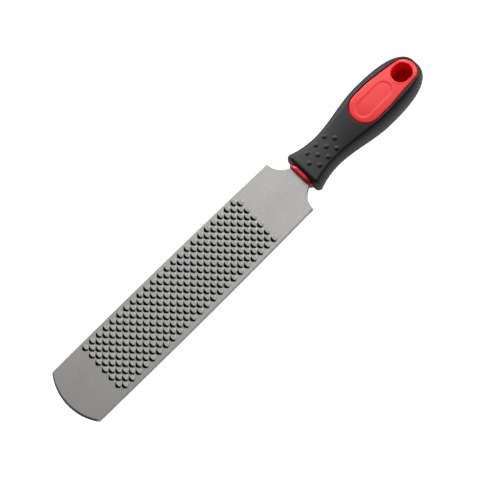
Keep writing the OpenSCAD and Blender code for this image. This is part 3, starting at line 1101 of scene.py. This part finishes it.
def ground_steel():
    """Satin ground steel: fine marks along the blade, soft cloudy patches; painted shade in gullets and on
    tooth tops, painted light on the side.
    """
    shader = new_material("ground_steel")
    marks = shader.noise(4.0, stretch=(12.0, 700.0, 700.0), detail=4.0, roughness=0.65)
    clouds = shader.noise(2.0, stretch=(14.0, 30.0, 30.0))
    grain = shader.noise(1400.0)
    spots = shader.noise(900.0)
    hollow = shader.attribute("hollow")
    raised = shader.attribute("raised")

    steel = shader.blend(clouds, *STEEL_TONES)
    steel = shader.blend(shader.span(marks, (0.35, 0.7), (0.0, 0.35)), steel, GRINDING_TONE)
    # Painted shade: the upper parts of the teeth blend to a darker tone.
    steel = shader.blend(shader.math("MULTIPLY", raised, 0.9), steel, TOOTH_SHADE_TONE)
    # Painted light: the plate's side wall blends to a paler tone.
    steel = shader.blend(shader.attribute("side"), steel, SIDE_LIGHT_TONE)
    spot_strength = shader.math("ADD", shader.math("MULTIPLY", raised, 0.35), 0.12)
    spots = shader.math("MULTIPLY", shader.span(spots, (0.38, 0.62), (0.0, 1.0)), spot_strength)
    steel = shader.blend(spots, steel, SPOT_TONE)
    # Painted shade: the gullets blend to near black.
    colour = shader.blend(hollow, steel, GULLET_SHADE_TONE)

    rough = shader.span(marks, (0.3, 0.7), (0.30, 0.40))
    rough = shader.math("ADD", rough, shader.math("MULTIPLY", hollow, 0.4))
    height = shader.math("ADD", marks, shader.math("MULTIPLY", grain, 0.4))
    # The gullets also lose their metal and specular shine, which deepens the painted shade there.
    metal = shader.math("SUBTRACT", 1.0, hollow)
    shader.set(Base_Color=colour, Metallic=metal, Roughness=rough,
               Normal=shader.bump(height, distance=0.00002, strength=0.5),
               Specular_IOR_Level=shader.math("MULTIPLY", metal, 0.5))
    return shader.owner


def soft_rubber():
    """Charcoal soft-touch rubber with a very fine moulded grain."""
    shader = new_material("soft_rubber")
    grain = shader.noise(2600.0)
    colour = shader.blend(shader.noise(60.0), *RUBBER_TONES)
    rough = shader.span(grain, (0.3, 0.7), (0.42, 0.52))
    shader.set(Base_Color=colour, Roughness=rough, Specular_IOR_Level=0.52,
               Normal=shader.bump(grain, distance=0.00004, strength=0.5))
    return shader.owner


def red_plastic():
    """Glossy moulded red plastic with faint flow marks."""
    shader = new_material("red_plastic")
    flow = shader.noise(45.0, stretch=(1.0, 3.0, 3.0))
    colour = shader.blend(flow, *RED_TONES)
    rough = shader.span(flow, (0.3, 0.7), (0.26, 0.34))
    shader.set(Base_Color=colour, Roughness=rough,
               Normal=shader.bump(shader.noise(900.0), distance=0.00002, strength=0.3))
    return shader.owner


def pale_floor():
    """A pale sheet, white to the camera, with a softly glowing strip beside the tool; clear from below."""
    shader = new_material("pale_floor")
    across = shader.node("ShaderNodeSeparateXYZ", Vector=shader.position(EVEN)).outputs["Y"]
    strip = shader.math("MULTIPLY", shader.span(across, STRIP_FADE_IN, (0.0, 1.0)),
                        shader.span(across, STRIP_FADE_OUT, (1.0, 0.0)))
    glow = shader.math("ADD", shader.math("MULTIPLY", shader.seen_by_camera(), CAMERA_GLOW),
                       shader.math("MULTIPLY", strip, STRIP_GLOW))
    shader.set(Base_Color=shader.blend(shader.noise(300.0), *FLOOR_TONES), Roughness=0.9,
               Emission_Color=GLOW_COLOUR, Emission_Strength=glow)
    behind = shader.node("ShaderNodeNewGeometry").outputs["Backfacing"]
    clear = shader.node("ShaderNodeBsdfTransparent").outputs["BSDF"]
    either = shader.node("ShaderNodeMixShader", Fac=behind)
    shader.connect(either.inputs[1], shader.surface.outputs["BSDF"])
    shader.connect(either.inputs[2], clear)
    shader.connect(shader.nodes["Material Output"].inputs["Surface"], either.outputs["Shader"])
    return shader.owner


def hole_shade_red():
    """The dull dark red of the card in the hang hole, painted shade for the hole's inside."""
    shader = new_material("hole_shade_red")
    shader.set(Base_Color=shader.blend(shader.noise(300.0), *HOLE_SHADE_TONES), Roughness=0.9,
               Specular_IOR_Level=0.0)
    return shader.owner


# ---- Studio ----

def add_sheet(name, corners, material):
    """A flat sheet for the studio, from corner points in metres."""
    mesh = bpy.data.meshes.new(name)
    mesh.from_pydata(corners, [], [list(range(len(corners)))])
    mesh.materials.append(material)
    sheet = bpy.data.objects.new(name, mesh)
    bpy.context.scene.collection.objects.link(sheet)
    return sheet


def add_floor():
    """A pale sheet that touches the tip's lower edge and the handle's belly."""
    half = FLOOR_SIZE / 2
    corners = [(-half, -half, 0.0), (half, -half, 0.0), (half, half, 0.0), (-half, half, 0.0)]
    floor = add_sheet("floor", corners, pale_floor())
    touch = Vector((BLADE_LENGTH * MM, 0.0, -FLOOR_GAP))
    floor.matrix_world = Matrix.Translation(touch) @ Matrix.Rotation(-FLOOR_TILT, 4, "Y")


def add_hole_shade_card():
    """A dark card just inside the hang hole's underside, which keeps the pale floor's light out of it:
    painted shade.
    """
    radius = HOLE_WIDTH / 2 + HOLE_CARD_OVERLAP
    straight = (HOLE_LENGTH - HOLE_WIDTH) / 2
    quarter = math.pi / 2
    outline = arc((straight, 0.0), radius, -quarter, quarter, HOLE_CARD_STEPS)
    outline += arc((-straight, 0.0), radius, quarter, 3 * quarter, HOLE_CARD_STEPS)
    card = add_sheet("hole_shade_card", [(x * MM, y * MM, 0.0) for x, y in outline], hole_shade_red())
    half_height = grip_half_size([MOUTH_X - HOLE_CENTRE_X + HOLE_LENGTH / 2])[1][0]
    card.location = Vector((HOLE_CENTRE_X, 0.0, MID_HEIGHT - half_height + HOLE_CARD_LIFT)) * MM


def add_softbox(name, place, size, power):
    """A soft rectangular light turned to the tool."""
    light = bpy.data.lights.new(name, "AREA")
    light.shape = "RECTANGLE"
    light.size, light.size_y = size
    light.energy = power
    lamp = bpy.data.objects.new(name, light)
    lamp.location = place
    lamp.rotation_euler = (LIGHT_AIM - place).to_track_quat("-Z", "Y").to_euler()
    bpy.context.scene.collection.objects.link(lamp)


def add_world():
    """A soft sky, brighter over the handle and overhead, dimmer past the tip; plain white to the camera."""
    shader = Shader(bpy.data.worlds.new("studio"), "Background")
    direction = shader.node("ShaderNodeTexCoord").outputs["Generated"]
    axes = shader.node("ShaderNodeSeparateXYZ", Vector=direction).outputs
    along = shader.span(axes["X"], *SKY_ALONG)
    across = shader.span(axes["Y"], *SKY_ACROSS)
    up = shader.span(axes["Z"], *SKY_UP)
    strength = shader.math("MULTIPLY", shader.math("MULTIPLY", along, across), up)
    shader.set(Color=SKY_COLOUR, Strength=shader.math("MAXIMUM", strength, shader.seen_by_camera()))
    bpy.context.scene.world = shader.owner


def add_camera():
    """A long lens from above, a little to the +Y side and toward the tip."""
    camera_data = bpy.data.cameras.new("camera")
    camera_data.sensor_width = SENSOR_WIDTH
    camera_data.lens = FOCAL_LENGTH
    camera_data.clip_end = CAMERA_REACH
    camera = bpy.data.objects.new("camera", camera_data)
    look = (CAMERA_AIM - CAMERA_PLACE).normalized()
    image_up = Vector((math.cos(CAMERA_TURN), math.sin(CAMERA_TURN), 0.0))
    right = look.cross(image_up).normalized()
    up = right.cross(look)
    turn = Matrix((right, up, -look)).transposed().to_4x4()
    camera.matrix_world = Matrix.Translation(CAMERA_PLACE) @ turn
    bpy.context.scene.collection.objects.link(camera)
    bpy.context.scene.camera = camera


# ---- Build ----

for node, slot, mesh, material, sharp_angle in (
        ("blade", "hardened_steel", blade_mesh(), ground_steel(), BLADE_SHARP_ANGLE),
        ("handle_core", "red_plastic", core_mesh(), red_plastic(), HANDLE_SHARP_ANGLE),
        ("grip", "black_rubber", grip_mesh(), soft_rubber(), HANDLE_SHARP_ANGLE)):
    piece = add_piece(mesh, material, sharp_angle)
    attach(piece, BODY)
    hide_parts(node)

add_floor()
add_hole_shade_card()
add_world()
add_softbox("key", KEY_PLACE, KEY_SIZE, KEY_POWER)
add_softbox("end_light", END_PLACE, END_SIZE, END_POWER)
add_camera()
bpy.context.scene.view_settings.view_transform = "Standard"
